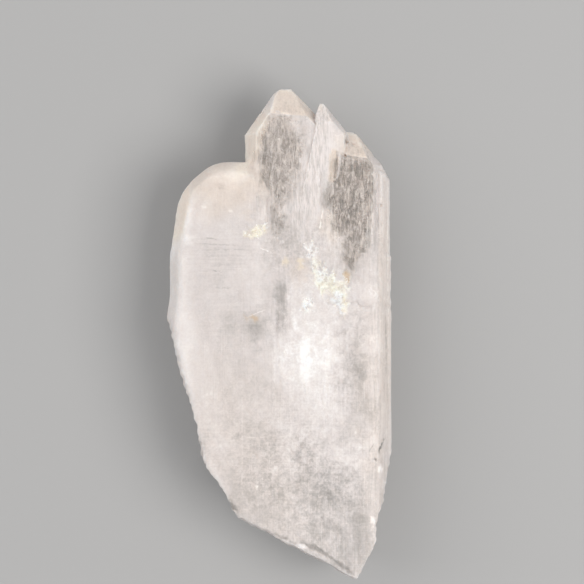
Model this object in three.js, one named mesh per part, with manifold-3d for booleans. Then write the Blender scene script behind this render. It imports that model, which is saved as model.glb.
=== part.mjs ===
// A cathedral quartz crystal: several columns that grew side by side along one axis, each with a tip of its
// own, all one piece of quartz. It lies on a prism face, with the tips towards +Y and the broken root towards -Y.
// Millimetres, +Z up. The origin is below the middle of the crystal, on the surface that it lies on.
import * as THREE from "three";
import { mergeVertices } from "three/addons/utils/BufferGeometryUtils.js";
import Module from "manifold-3d";

const wasm = await Module();
wasm.setup();

// ---- Driving dimensions ----

const topEnd = 50; // how far the tallest tip reaches from the middle
const rootEnd = -49.5; // how far the broken root reaches
const leftEdge = -23.4; // where the prism's side edges stand furthest out
const rightEdge = 22.9;
const frontFace = 20.2; // height of the broad front face of the main column
const sideEdge = 13.4; // height of the side edges, where the front and back prism faces meet
const tipFaceAngle = 51.8; // degrees from the long axis to the normal of a quartz tip face
const prismFaceTurn = 60; // degrees between neighbouring prism faces
const rawBlock = 130; // edge of the block that each column is cut from
const cutter = 400; // edge of the blocks that cut the planes
const seed = 41; // start of the row of pseudo-random numbers

const rad = THREE.MathUtils.degToRad;
const deg = THREE.MathUtils.radToDeg;
const up = new THREE.Vector3(0, 0, 1);

// How far the natural faces lean from upright: the prism's sides, the tip faces at the sides and those in front.
const prismLean = 90 - prismFaceTurn;
const sideTipLean = deg(Math.asin(Math.sin(rad(tipFaceAngle)) * Math.sin(rad(prismLean))));
const frontTipLean = tipFaceAngle;

// The slope, in plan, of the edge between a column's two side tip faces.
const tipSlope = Math.tan(rad(tipFaceAngle)) * Math.cos(rad(prismLean));

let drawn = seed;
// A number between low and high, from a fixed row of pseudo-random numbers.
function between(low, high) {
  drawn += 1;
  return THREE.MathUtils.lerp(low, high, THREE.MathUtils.seededRandom(drawn * 7919));
}

// ---- Solids from three.js geometry ----

function solidOf(geometry) {
  const bare = geometry.clone();
  bare.deleteAttribute("normal");
  bare.deleteAttribute("uv");
  const merged = mergeVertices(bare, 1e-4);
  const vertProperties = new Float32Array(merged.attributes.position.array);
  const triVerts = new Uint32Array(merged.index.array);
  return new wasm.Manifold(new wasm.Mesh({ numProp: 3, vertProperties, triVerts }));
}

// Everything beyond the plane through point whose normal is outward.
function beyond(point, outward) {
  const block = new THREE.BoxGeometry(cutter, cutter, cutter);
  block.translate(0, 0, cutter / 2);
  block.applyQuaternion(new THREE.Quaternion().setFromUnitVectors(up, outward.clone().normalize()));
  block.translate(point.x, point.y, point.z);
  return solidOf(block);
}

// The outward direction of a wall from one plan point to the next, going clockwise seen from above.
function outwardOf(from, to) {
  return new THREE.Vector3(from[1] - to[1], to[0] - from[0], 0).normalize();
}

// Cuts a solid along the line from one plan point to the next. The cut leans inwards by over degrees above the
// given height and by under degrees below it, so the line itself stands furthest out.
function cutWall(solid, from, to, height, over, under) {
  const point = new THREE.Vector3(...from, height);
  const outward = outwardOf(from, to);
  const upper = outward.clone().multiplyScalar(Math.cos(rad(over))).setZ(Math.sin(rad(over)));
  const lower = outward.clone().multiplyScalar(Math.cos(rad(under))).setZ(-Math.sin(rad(under)));
  return solid.subtract(beyond(point, upper)).subtract(beyond(point, lower));
}

// ---- Columns ----

// The lean of the face that grows along a plan line: a prism face along the long axis, a front tip face across
// it, and a side tip face in between. A worn end has one endLean all the way round instead of tip faces.
function naturalLean(from, to, endLean) {
  const acrossAxis = outwardOf(from, to).y;
  if (Math.abs(acrossAxis) < 0.2) {
    return prismLean;
  }
  return endLean ?? (acrossAxis > 0.9 ? frontTipLean : sideTipLean);
}

// One column. outline is its plan at the height middle, where its side edges are, clockwise from the lower left.
// The front and back are its flat faces, and roll turns the front towards the right, in degrees.
function column({ outline, front, back = 0, middle = sideEdge, roll = 0, endLean }) {
  let solid = solidOf(new THREE.BoxGeometry(rawBlock, rawBlock, rawBlock));
  outline.forEach((from, i) => {
    const to = outline[(i + 1) % outline.length];
    const lean = naturalLean(from, to, endLean);
    solid = cutWall(solid, from, to, middle, lean, lean);
  });
  const centre = (outline[0][0] + outline.at(-1)[0]) / 2;
  const facing = new THREE.Vector3(Math.sin(rad(roll)), 0, Math.cos(rad(roll)));
  solid = solid.subtract(beyond(new THREE.Vector3(centre, 0, front), facing));
  return solid.subtract(beyond(new THREE.Vector3(0, 0, back), up.clone().negate()));
}

// ---- Chips ----

// A chip knocked off an edge: a small eight-sided bite, turned anyhow.
function chip(point, size) {
  const bite = new THREE.OctahedronGeometry(size);
  bite.scale(between(0.7, 1.1), between(1, 2.2), between(0.5, 0.9));
  bite.rotateX(between(0, 3));
  bite.rotateZ(between(0, 3));
  bite.translate(point.x, point.y, point.z);
  return solidOf(bite);
}

// A column with chips along its edges, some at its sides and some round its front.
const chipSpacing = 3.4;
const lowestChip = -34;
function chipped(spec) {
  const { outline, front, middle = sideEdge, endLean } = spec;
  let solid = column(spec);
  for (let i = 0; i + 1 < outline.length; i += 1) {
    const from = new THREE.Vector3(...outline[i], middle);
    const to = new THREE.Vector3(...outline[i + 1], middle);
    from.y = Math.max(from.y, lowestChip);
    to.y = Math.max(to.y, lowestChip);
    const length = from.distanceTo(to);
    const inset = (front - middle) * Math.tan(rad(naturalLean(outline[i], outline[i + 1], endLean)));
    for (let along = between(0, chipSpacing); along < length; along += between(1, 2) * chipSpacing) {
      const point = from.clone().lerp(to, along / length);
      if (between(0, 1) < 0.5) {
        point.addScaledVector(outwardOf(outline[i], outline[i + 1]), -inset).setZ(front);
      }
      solid = solid.subtract(chip(point, between(0.3, 0.8)));
    }
  }
  return solid;
}

// ---- The columns ----

const root = rootEnd - 10; // the columns run on past the break

// the tallest tip, left of the middle
const tallest = {
  outline: [
    [-6.8, root],
    [-7.2, 40.4],
    [-1.4, 48.8],
    [0, topEnd],
    [2.2, 49.8],
    [10.4, 41.5],
    [10.4, root],
  ],
  front: 18.3,
  middle: 13.9,
  back: 0.8,
};

// the right hand column with the wide clear front, and the ledge along its side
const clear = {
  outline: [
    [4, root],
    [4, 32.4],
    [13.2, 41.3],
    [15.4, 41],
    [21.1, 34],
    [21.3, root],
  ],
  front: 17.4,
  back: 1.6,
};
const clearLedge = {
  outline: [
    [6, root],
    [6, 34],
    [13.4, 40.9],
    [15.4, 40.8],
    [22.3, 32.4],
    [rightEdge, root],
  ],
  front: 15.4,
  middle: 12.4,
  back: 1.2,
};

// the low shoulder on the left, with its worn round end
const shoulder = {
  outline: [
    [-22.6, root],
    [-22.6, 16.2],
    [-20.5, 28.4],
    [-18.2, 31.6],
    [-14.4, 34.5],
    [-11.7, 35.3],
    [-7.4, 35.2],
    [-3, 33],
    [-0.4, 29],
    [-0.4, root],
  ],
  front: 19.9,
  middle: 15.4,
  back: 0.9,
  endLean: 30,
};

// the body that they all grew from, whose front is in two halves that meet at a seam
const core = {
  outline: [
    [-22.4, root],
    [-22.4, 9],
    [-14, 20],
    [14, 24],
    [22.6, 16],
    [22.8, root],
  ],
  front: 16.5,
  back: 0.45,
};
const leftBody = {
  outline: [
    [leftEdge, root],
    [leftEdge, 3],
    [-22.7, 7.4],
    [-16, 17],
    [-2, 18],
    [12, 10],
    [12, root],
  ],
  front: 19.9,
  middle: 15.4,
  back: 0.9,
  roll: -0.5,
};
const rightBody = {
  outline: [
    [-3.2, root],
    [-3.2, 6],
    [4, 12],
    [16, 12],
    [22.7, 5],
    [rightEdge, root],
  ],
  front: frontFace,
  back: 0.7,
  middle: 14.6,
  roll: 1.2,
};

// two low steps under the body, the lower one with the flat face that the crystal lies on
const sole = {
  outline: [
    [-17, root],
    [-17, 6],
    [-8, 17],
    [7, 18.5],
    [16.4, 8],
    [16.4, root],
  ],
  front: 8,
  middle: 3,
};
const soleStep = {
  outline: [
    [-18.4, root],
    [-18.4, -12],
    [-12, 8],
    [-5, 20],
    [12.6, 19.4],
    [17, 12],
    [17, root],
  ],
  front: 8,
  middle: 3,
  back: 0.22,
};

// ---- The blade between the two tips ----

// It grew turned to the right. Its bright narrow front falls towards the clear column, and its long edges lean.
function blade() {
  const lean = 15; // of its long edges, in plan
  const facing = 15; // how far its front is turned
  const footLine = new THREE.Vector3(9.6, 30.2, clear.front); // on the line where its front meets the clear one
  const crest = [
    [1.6, 25.7],
    [7.6, 45.6],
  ];
  const sideways = new THREE.Vector3(Math.cos(rad(lean)), -Math.sin(rad(lean)), 0);
  const turned = sideways.clone().multiplyScalar(Math.sin(rad(facing))).setZ(Math.cos(rad(facing)));
  const outline = [
    [0, 14],
    [6.4, 45],
    [7.6, 46.9],
    [8.8, 46.8],
    [14, 40.4],
    [14, 14],
  ];
  const solid = column({ outline, front: frontFace, middle: 15.2, back: 5 });
  return cutWall(solid.subtract(beyond(footLine, turned)), ...crest, 17, 20, 0);
}

// ---- Ledges of the front ----

// A low plate that grew on the front: a column of the natural shape whose upper end comes to the point tip. Its
// corners stand at slightly different heights, and lean turns it in plan.
function plate({ tip, width, front, roll = 0, blunt = 0.8, drop = 2.5, back = 6, lean = 0 }) {
  const pivot = new THREE.Vector2(...tip);
  const fall = (width / 2 - blunt) * tipSlope;
  const corners = [
    [-width / 2, root],
    [-width / 2, -fall + between(-0.8, 0.3)],
    [-blunt, between(-0.3, 0)],
    [blunt, between(-0.3, 0)],
    [width / 2, -fall + between(-0.8, 0.3)],
    [width / 2, root],
  ];
  const outline = corners.map(([x, y]) => {
    const corner = new THREE.Vector2(x, y).add(pivot);
    return corner.rotateAround(pivot, rad(lean)).toArray();
  });
  return column({ outline, front, back, middle: front - drop, roll });
}

const plates = [
  // over the foot of the blade and of the two clear fronts
  { tip: [-1.4, 20.4], width: 7, front: 18.9, lean: 3 },
  { tip: [5, 24.8], width: 8, front: 19, lean: -4 },
  { tip: [3.6, 22], width: 10, front: 19.8, roll: -1, lean: 2 },
  { tip: [9.4, 19.8], width: 7, front: 18.4, lean: -3 },
  { tip: [10.4, 16], width: 9, front: 19.3, roll: 2, lean: 3 },
  { tip: [17.8, 18.4], width: 5.4, front: 18.4, roll: 2, blunt: 0.4 },
  { tip: [17.2, 13.8], width: 8, front: 19.5, roll: 2, lean: -2 },
  { tip: [12.6, 9.4], width: 12, front: 20, roll: 1.5, lean: 2, blunt: 1.6 },
  // across the shoulder
  { tip: [-9, 21.4], width: 14, front: 20.05, blunt: 5, lean: -2, drop: 1.5 },
  { tip: [-11.2, 18.2], width: 16, front: 20.15, blunt: 4, roll: -1, lean: 2, drop: 1.5 },
  { tip: [-5, 4.4], width: 12, front: 20.15, blunt: 2, lean: -3, drop: 1.5 },
  // thin steps low down on the two sides of the seam
  { tip: [-2.4, -9], width: 10, front: 20.3, blunt: 2.4, lean: 2, drop: 1.5 },
  { tip: [12.4, -6], width: 16.6, front: 20.35, blunt: 6, roll: 1.2, lean: -3, drop: 1.5 },
  { tip: [-3, -21.6], width: 11, front: 20.4, blunt: 3.4, lean: -2, drop: 1.5 },
];

let crystal = column(core).add(column(sole)).add(column(soleStep));
for (const spec of [tallest, clear, clearLedge, shoulder, leftBody, rightBody]) {
  crystal = crystal.add(chipped(spec));
}
crystal = crystal.add(blade());
for (const spec of plates) {
  crystal = crystal.add(plate(spec));
}

// ---- The broken root and sides ----

// The line where the breaks stand furthest out.
const breakLine = [
  [rightEdge, -24],
  [20.8, -34],
  [18.3, -44.8],
  [16.7, -47.8],
  [14.8, rootEnd],
  [12.4, -48.25],
  [2.4, -42.9],
  [-10.3, -35.75],
  [-13.6, -30],
  [-16.2, -23.4],
  [-18.65, -14.8],
  [-21.2, -5.4],
  [leftEdge, 3.4],
];

// Each break is a wall from one point of the line to the next, furthest out at its own height.
const standOff = 0.35; // kept outside the line, for the hollows to eat into
function movedOut(point, outward) {
  return [point[0] + outward.x * standOff, point[1] + outward.y * standOff];
}
const breaks = breakLine.slice(0, -1).map((point, i) => ({
  from: movedOut(point, outwardOf(point, breakLine[i + 1])),
  to: movedOut(breakLine[i + 1], outwardOf(point, breakLine[i + 1])),
  height: between(11, 16),
  over: between(3, 12),
  under: between(5, 16),
}));

// The place on a break's surface that is share of the way along it, at height z.
function onBreak({ from, to, height, over, under }, share, z) {
  const lean = z > height ? over : under;
  const inset = Math.abs(z - height) * Math.tan(rad(lean));
  const point = new THREE.Vector3(...from, z).lerp(new THREE.Vector3(...to, z), share);
  return point.addScaledVector(outwardOf(from, to), -inset);
}

// A shell-shaped hollow: a stretched ball that bites depth deep into the surface at point. Its facets are about
// facetSize wide, whatever its radius.
const facetSize = 2;
function hollow(point, outward, radius, depth) {
  const ball = new THREE.IcosahedronGeometry(radius, Math.round(radius / facetSize));
  ball.scale(between(1, 1.7), 1, between(0.8, 1.3));
  ball.applyQuaternion(new THREE.Quaternion().setFromUnitVectors(new THREE.Vector3(0, 1, 0), outward));
  const centre = outward.clone().multiplyScalar(radius - depth).add(point);
  ball.translate(centre.x, centre.y, centre.z);
  return solidOf(ball);
}

// Big hollows, each on the break with the given number, and small ones in two rows along every break.
const bigHollows = [
  { wall: 0, share: 0.9, z: 14, radius: 13, depth: 1.2 },
  { wall: 1, share: 0.6, z: 5, radius: 18, depth: 1.3 },
  { wall: 5, share: 0.4, z: 14, radius: 10, depth: 1.5 },
  { wall: 5, share: 0.6, z: 5, radius: 22, depth: 1.3 },
  { wall: 6, share: 0.5, z: 7, radius: 18, depth: 1.1 },
  { wall: 9, share: 0.3, z: 6, radius: 18, depth: 1.2 },
  { wall: 10, share: 0.6, z: 15, radius: 14, depth: 0.8 },
  { wall: 11, share: 0.3, z: 5, radius: 20, depth: 1.3 },
];
const hollowSpacing = 3.6;
const hollowRows = [0.28, 0.78]; // their heights as shares of the thickness
for (const wall of breaks) {
  crystal = cutWall(crystal, wall.from, wall.to, wall.height, wall.over, wall.under);
}
for (const { wall, share, z, radius, depth } of bigHollows) {
  const { from, to } = breaks[wall];
  crystal = crystal.subtract(hollow(onBreak(breaks[wall], share, z), outwardOf(from, to), radius, depth));
}
for (const wall of breaks) {
  const reach = Math.hypot(wall.to[0] - wall.from[0], wall.to[1] - wall.from[1]);
  for (const row of hollowRows) {
    for (let along = between(0, hollowSpacing); along < reach; along += hollowSpacing) {
      const point = onBreak(wall, along / reach, frontFace * row + between(-4, 4));
      const outward = outwardOf(wall.from, wall.to).setZ(between(-0.3, 0.3)).normalize();
      crystal = crystal.subtract(hollow(point, outward, between(7, 20), between(0.2, 0.6)));
    }
  }
}

// The long shallow dent beside the blade.
const dent = new THREE.IcosahedronGeometry(1, 6);
dent.scale(1.1, 3.6, 0.5);
dent.rotateZ(rad(-6));
dent.translate(11.2, 34.2, clear.front + 0.2);
crystal = crystal.subtract(solidOf(dent));

// ---- Growth pits ----

const pitSteepness = 0.7;
const clearOfFace = 1; // how far a pit's cutter stands out of the face
// A three-sided growth pit, radius wide where it opens at the given point of a face.
function pit(point, outward, radius) {
  const depth = radius * pitSteepness;
  const height = depth + clearOfFace;
  const cone = new THREE.ConeGeometry(height / pitSteepness, height, 3);
  cone.translate(0, depth - height / 2, 0);
  cone.rotateX(-Math.PI / 2);
  cone.rotateZ(between(0, 2));
  cone.applyQuaternion(new THREE.Quaternion().setFromUnitVectors(up, outward));
  cone.translate(point.x, point.y, point.z);
  return solidOf(cone);
}

// Pits in the front tip face of a column, whose upper end is at tipX, tipY in plan and width wide at its foot.
const tipFacing = new THREE.Vector3(0, Math.cos(rad(tipFaceAngle)), Math.sin(rad(tipFaceAngle)));
function pitTipFace({ front, middle = sideEdge }, [tipX, tipY], width, count) {
  const depth = (front - middle) * Math.tan(rad(tipFaceAngle));
  for (let i = 0; i < count; i += 1) {
    const below = between(0.35, 0.95) * depth;
    const x = tipX + between(-0.5, 0.5) * width * (below / depth);
    const z = middle + below / Math.tan(rad(tipFaceAngle));
    crystal = crystal.subtract(pit(new THREE.Vector3(x, tipY - below, z), tipFacing, between(0.2, 0.5)));
  }
}
pitTipFace(tallest, [1.6, topEnd - 0.2], 6, 5);
pitTipFace(clear, [14.4, 41.2], 5, 4);

const frontPits = 26;
for (let i = 0; i < frontPits; i += 1) {
  const place = new THREE.Vector3(between(-16, 18), between(-38, 14), frontFace + 0.15);
  crystal = crystal.subtract(pit(place, up, between(0.35, 0.8)));
}

// ---- The face that it lies on ----

crystal = crystal.subtract(beyond(new THREE.Vector3(0, 0, 0), up.clone().negate()));

// ---- The finished solid ----

// Facets keep their own vertices, so each one is flat. The crystal is set centrally over the origin.
function geometryOf(solid) {
  const mesh = solid.getMesh();
  const shared = new THREE.BufferGeometry();
  shared.setAttribute("position", new THREE.BufferAttribute(new Float32Array(mesh.vertProperties), 3));
  shared.setIndex(new THREE.BufferAttribute(mesh.triVerts, 1));
  const geometry = shared.toNonIndexed();
  geometry.computeBoundingBox();
  const centre = geometry.boundingBox.getCenter(new THREE.Vector3());
  geometry.translate(-centre.x, -centre.y, 0);
  geometry.computeVertexNormals();
  return geometry;
}

const quartz = new THREE.MeshStandardMaterial({
  color: 0xe4dcd5,
  roughness: 0.25,
  metalness: 0,
});

const mesh = new THREE.Mesh(geometryOf(crystal), quartz);
mesh.name = "quartz_crystal";
const specimen = new THREE.Group();
specimen.add(mesh);

export default specimen;
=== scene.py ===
# %% [markdown]
# # A cathedral quartz crystal
# Quartz grows in six-sided columns that end in pointed tips. In a cathedral crystal several columns grew
# side by side along one axis, so their tips stand together like towers. This one is milky, because the
# quartz is full of tiny bubbles of water, and only parts of its tips are clear. It lies on a pale studio
# floor, tips away from us. The measured solid comes first, and everything else is laid over it.

# %% Load the measured solid
import math
import typing

import bmesh
import bpy
import numpy as np
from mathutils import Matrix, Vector, noise


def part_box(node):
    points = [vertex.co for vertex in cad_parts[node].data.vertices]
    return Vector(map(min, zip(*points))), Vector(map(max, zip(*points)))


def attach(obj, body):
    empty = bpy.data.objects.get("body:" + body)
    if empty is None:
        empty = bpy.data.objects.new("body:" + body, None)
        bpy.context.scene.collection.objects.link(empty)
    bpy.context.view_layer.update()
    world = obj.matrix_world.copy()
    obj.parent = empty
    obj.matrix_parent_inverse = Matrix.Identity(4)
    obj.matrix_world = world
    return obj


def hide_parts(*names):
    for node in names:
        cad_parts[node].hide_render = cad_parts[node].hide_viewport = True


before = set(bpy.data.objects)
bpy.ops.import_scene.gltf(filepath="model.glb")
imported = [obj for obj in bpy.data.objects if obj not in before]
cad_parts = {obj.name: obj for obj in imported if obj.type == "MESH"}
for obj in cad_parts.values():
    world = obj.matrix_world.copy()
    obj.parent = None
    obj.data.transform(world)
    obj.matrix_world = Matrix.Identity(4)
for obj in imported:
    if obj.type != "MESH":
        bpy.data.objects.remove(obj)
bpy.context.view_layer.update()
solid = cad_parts["quartz_crystal"]

# %% [markdown]
# ## Millimetres
# Blender counts in metres, but a crystal is described in millimetres. Places are written in millimetres
# here, with X across the crystal, Y along it towards the tips, and Z up.

# %% Millimetres
MM = 0.001


def mm(*values):
    """A place or a size in millimetres, as Blender's metres."""
    return Vector([value * MM for value in values])

# %% [markdown]
# ## The skin
# The solid has a few thousand large flat facets. The real surface has worn edges, faint swells and
# shell-shaped breaks, and pressing those in needs small faces. A Remesh modifier rebuilds the surface from
# small squares. Its Sharp mode is chosen because it keeps the crisp edges between crystal faces, which a
# voxel remesh would saw off.

# %% Helpers for meshes
def merged_copy(node):
    """A copy of a node's mesh, whose loose triangles are joined at their corners."""
    mesh = node.data.copy()
    shape = bmesh.new()
    shape.from_mesh(mesh)
    bmesh.ops.remove_doubles(shape, verts=shape.verts, dist=0.001 * MM)
    shape.to_mesh(mesh)
    shape.free()
    return mesh


def shown(name, data):
    """A new object in the scene with this mesh, light or lens."""
    data.name = name
    obj = bpy.data.objects.new(name, data)
    bpy.context.scene.collection.objects.link(obj)
    return obj


def plain_mesh(obj):
    """What an object looks like through its modifiers, as a plain mesh. The object is deleted."""
    seen = obj.evaluated_get(bpy.context.evaluated_depsgraph_get())
    mesh = bpy.data.meshes.new_from_object(seen)
    bpy.data.objects.remove(obj)
    return mesh

# %% A fine copy of the solid
REMESH_DEPTH = 8  # the longest side is 2 to the power of this many cells
REMESH_SCALE = 0.93


def remeshed(mesh):
    """The same surface, built from small squares."""
    obj = shown("remesh", mesh)
    remesh = obj.modifiers.new("small squares", "REMESH")
    remesh.mode = "SHARP"
    remesh.octree_depth = REMESH_DEPTH
    remesh.scale = REMESH_SCALE
    return plain_mesh(obj)


MOST_ROUNDS = 8


def closed(mesh):
    """Opens the few spots where more than two faces share an edge, and puts a lid on each."""
    shape = bmesh.new()
    shape.from_mesh(mesh)
    for _ in range(MOST_ROUNDS):
        odd = {vert for edge in shape.edges if len(edge.link_faces) != 2 for vert in edge.verts}
        if not odd:
            break
        bmesh.ops.delete(shape, geom=list(odd), context="VERTS")
        rims = [edge for edge in shape.edges if edge.is_boundary]
        lids = bmesh.ops.holes_fill(shape, edges=rims, sides=0)["faces"]
        bmesh.ops.triangulate(shape, faces=lids)
        loose = [edge for edge in shape.edges if not edge.link_faces]
        bmesh.ops.delete(shape, geom=loose, context="EDGES")
    bmesh.ops.delete(shape, geom=[vert for vert in shape.verts if not vert.link_faces], context="VERTS")
    bmesh.ops.recalc_face_normals(shape, faces=shape.faces)
    still_open = sum(not edge.is_manifold for edge in shape.edges)
    shape.to_mesh(mesh)
    shape.free()
    print("skin:", len(mesh.polygons), "faces,", still_open, "open edges")
    return mesh


skin_mesh = closed(remeshed(merged_copy(solid)))

# %% [markdown]
# ## What each part of the skin is
# A quartz crystal has few kinds of face, and their directions tell them apart. The tip faces all look along
# the long axis at one angle, the prism faces look straight sideways, and only breaks look back towards the
# root. That is stored on the mesh as attributes, which the relief and the material both read.

# %% Read the skin into arrays
def read(collection, field, width):
    """One number or row of numbers from each item of a mesh's collection."""
    values = np.empty(len(collection) * width)
    collection.foreach_get(field, values)
    return values.reshape(-1, width)


points = read(skin_mesh.vertices, "co", 3) / MM
normals = read(skin_mesh.vertices, "normal", 3)
face_normals = read(skin_mesh.polygons, "normal", 3)
edges = read(skin_mesh.edges, "vertices", 2).astype(int)
corners = read(skin_mesh.loops, "vertex_index", 1).astype(int).ravel()
corner_counts = read(skin_mesh.polygons, "loop_total", 1).astype(int).ravel()
corner_faces = np.repeat(np.arange(len(corner_counts)), corner_counts)


def store(name, values, domain="POINT"):
    """Keeps numbers on the mesh for the material to read."""
    skin_mesh.attributes.new(name, "FLOAT", domain).data.foreach_set("value", values)

# %% Tip faces, clear fronts and breaks
TIPS_FROM = 23  # mm along the crystal
TIP_FACE_LOOK = math.cos(math.radians(51.8))  # how far a tip face's direction goes along the long axis
TALL_FRONT = 18.3  # mm, the height of the tallest column's front face
CLEAR_FRONT = 17.4  # mm, the same of the right hand column
face_centres = read(skin_mesh.polygons, "center", 3) / MM


def front_at(height, from_y):
    """1 for the faces beyond from_y that lie flat at a height, 0 for the others."""
    flat = (face_normals[:, 2] > 0.98) & (abs(face_centres[:, 2] - height) < 0.3)
    return (flat & (face_centres[:, 1] > from_y)).astype(float)


at_tips = face_centres[:, 1] > TIPS_FROM
tip_face = ((abs(face_normals[:, 1] - TIP_FACE_LOOK) < 0.03) & at_tips).astype(float)
broken_face = ((face_normals[:, 1] < -0.1) & (abs(face_normals[:, 2]) < 0.9)).astype(float)
store("tip_face", tip_face, "FACE")
store("tall_front", front_at(TALL_FRONT, from_y=20), "FACE")
store("clear_front", front_at(CLEAR_FRONT, from_y=12), "FACE")

CLEAR_FROM = 22  # mm along the crystal: the lower faces of the tips get clearer from here
CLEAR_OVER = 14  # mm


def on_points(face_values):
    """The mean of the faces round each point."""
    total = np.bincount(corners, weights=face_values[corner_faces], minlength=len(points))
    return total / np.bincount(corners, minlength=len(points))


broken = on_points(broken_face)
below = np.clip((0.3 - normals[:, 2]) / 0.3, 0, 1)
below_tips = below * np.clip((points[:, 1] - CLEAR_FROM) / CLEAR_OVER, 0, 1)
print("tip faces:", int(tip_face.sum()), "squares, breaks:", int(broken_face.sum()), "squares")

# %% [markdown]
# ## Relief
# Every point is moved a little along the surface's direction. The directions are averaged over the
# neighbours first, so that an edge isn't torn open. How far a point stands out from its neighbours tells
# where the edges are.

# %% Helpers for relief
def neighbour_mean(values):
    """The mean of each point's neighbours."""
    total = np.zeros_like(values)
    links = np.zeros(len(points))
    for one, other in (edges.T, edges.T[::-1]):
        np.add.at(total, one, values[other])
        np.add.at(links, one, 1)
    return total / links.reshape(-1, *[1] * (values.ndim - 1))


def lumps(size, seed, octaves=4):
    """Soft noise of about -1 to 1 at each point, with lumps of about size mm."""
    shift = Vector((seed * 7.3, seed * 3.1, seed * 5.7))
    return np.array([noise.fractal(Vector(spot) + shift, 1.0, 2.0, octaves) for spot in points / size])


def oval(centre, reach, softness=0.25):
    """1 for the points inside an oval, 0 outside, with a soft rim."""
    length = np.linalg.norm((points - centre) / reach, axis=1)
    share = np.clip((1 + softness - length) / (2 * softness), 0, 1)
    return share * share * (3 - 2 * share)

# %% [markdown]
# ## Melted steps
# The low steps of the front ran together as the crystal grew on, most of all where the tips meet the body. A
# brush in Sculpt Mode could smooth them by hand. Here each point inside a few ovals goes towards its
# neighbours again and again, which gives the same soft steps every time.

# %% Melt the steps
MELTS = (  # centre, reach and rounds of smoothing
    ((8, 16, 19), (17, 8.5, 6), 46),
    ((-11, 19, 19.5), (9, 6, 4), 14),
    ((-2, -16, 20), (17, 26, 4), 7),
    ((-20.5, -4, 17), (4.5, 26, 8), 26),
    ((20.8, -18, 18), (3, 32, 6), 14),
    ((-12, 30, 18), (11, 7, 5), 36),
)
MELT_PER_ROUND = 0.6  # how far a point goes to the mean of its neighbours
crisp = points.copy()
for centre, reach, rounds in MELTS:
    melt = oval(centre, reach)[:, None] * MELT_PER_ROUND
    for _ in range(rounds):
        points += (neighbour_mean(points) - points) * melt
print("steps melted by up to", round(float(np.linalg.norm(points - crisp, axis=1).max()), 2), "mm")

# %% [markdown]
# ## Worn edges, faint swells and shell-shaped breaks
# Quartz has no plane to split along, so it breaks like glass, in shells with ripples round the point of the
# blow. Sines of the distance from such a point make the ripples. Edges are chipped and rubbed more in some
# places than in others, so the wear is multiplied by noise. A Displace modifier could swell the faces, but
# not find the edges.

# %% Wear, swell and break
WEAR = 1.5  # how far an edge is worn down, times how far it stands out
MOST_WEAR = 0.34  # mm
SWELL = 0.06  # mm
BREAK_RELIEF = 0.28  # mm
RIPPLE = 0.09  # mm
RIPPLE_SPACING = 1.9  # mm
SHELL_CENTRE = (4, -58, 26)  # mm
EDGE_GAIN = 26  # brings the disagreement of the directions at an edge of 30 degrees to nearly 1
WORN_FROM = 0.05  # mm: an edge that stands out this far counts as fully worn
FULL_RELIEF_FROM = 0.6  # mm above the flat face that it lies on, which stays flat

bulge = np.einsum("ij,ij->i", points - neighbour_mean(points), normals)
wear = np.clip(bulge * WEAR, 0, MOST_WEAR) * np.clip(0.55 + 0.9 * lumps(1.8, 1), 0, 1.6)
swell = SWELL * lumps(7.0, 2)
shells = np.linalg.norm(points - SHELL_CENTRE, axis=1) + 0.9 * lumps(5.0, 3)
ripples = RIPPLE * np.sin(shells * math.tau / RIPPLE_SPACING)
breaks = broken * (BREAK_RELIEF * lumps(3.2, 4) + ripples)
directions = normals
for _ in range(2):
    directions = neighbour_mean(directions)
agreement = np.linalg.norm(directions, axis=1, keepdims=True)
directions /= agreement
near_edge = np.clip((1 - agreement[:, 0]) * EDGE_GAIN, 0, 1)
offset = swell + breaks - wear
lifted = np.clip(points[:, 2] / FULL_RELIEF_FROM, 0, 1)
points += directions * (offset * lifted)[:, None]
worn = np.clip(neighbour_mean(np.clip(bulge, 0, None)) / WORN_FROM, 0, 1)
store("worn_edge", worn)
store("near_edge", near_edge)
store("below_tips", below_tips)
store("broken", broken)
skin_mesh.vertices.foreach_set("co", (points * MM).ravel())
skin_mesh.update()
print("edges worn by up to", round(float(wear.max()), 2), "mm")

# %% [markdown]
# ## Patches
# Nearly everything that is seen in this crystal is a soft-edged patch with a wobbly rim: a clear window, a
# white bruise, a rust stain, a grey spot. Each patch is described by one short line. Its outline is a
# superellipse, which goes from an oval to a box as its corners go up from 2. The patches are worked out at
# every point of the skin, and kept on the mesh as attributes, which are cheap for a material to read.

# %% How a patch is described
class Patch(typing.NamedTuple):
    """A region in millimetres: its middle, half its width and half its length, and how much of it there is.

    turn is in degrees, counter-clockwise from above. wobble is how far the rim strays over each size mm.
    soft is half the width of its soft rim, as a share of the patch's own size, and deep is half its height.
    """

    x: float
    y: float
    wide: float
    long: float
    much: float = 1.0
    turn: float = 0
    corners: float = 2
    wobble: float = 0.8
    size: float = 1
    soft: float = 0.6
    deep: float = 9

# %% Patches on the skin
FRONT_HEIGHT = 18  # mm: the middle of every patch lies at about the height of the front
WOBBLE_SIZES = (1, 2.5, 5)  # mm
WOBBLE_SEED = 4
noise.seed_set(WOBBLE_SEED)  # without it the random vectors would start from the clock


def shaken(size, octaves=3):
    """A random vector of about -1 to 1 at each point, which changes over size mm."""
    total = np.zeros_like(points)
    for octave in range(octaves):
        finer = 2**octave
        total += np.array([noise.noise_vector(Vector(spot)) for spot in points * finer / size]) / finer
    return total


shakes = {size: shaken(size) for size in WOBBLE_SIZES}


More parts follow.
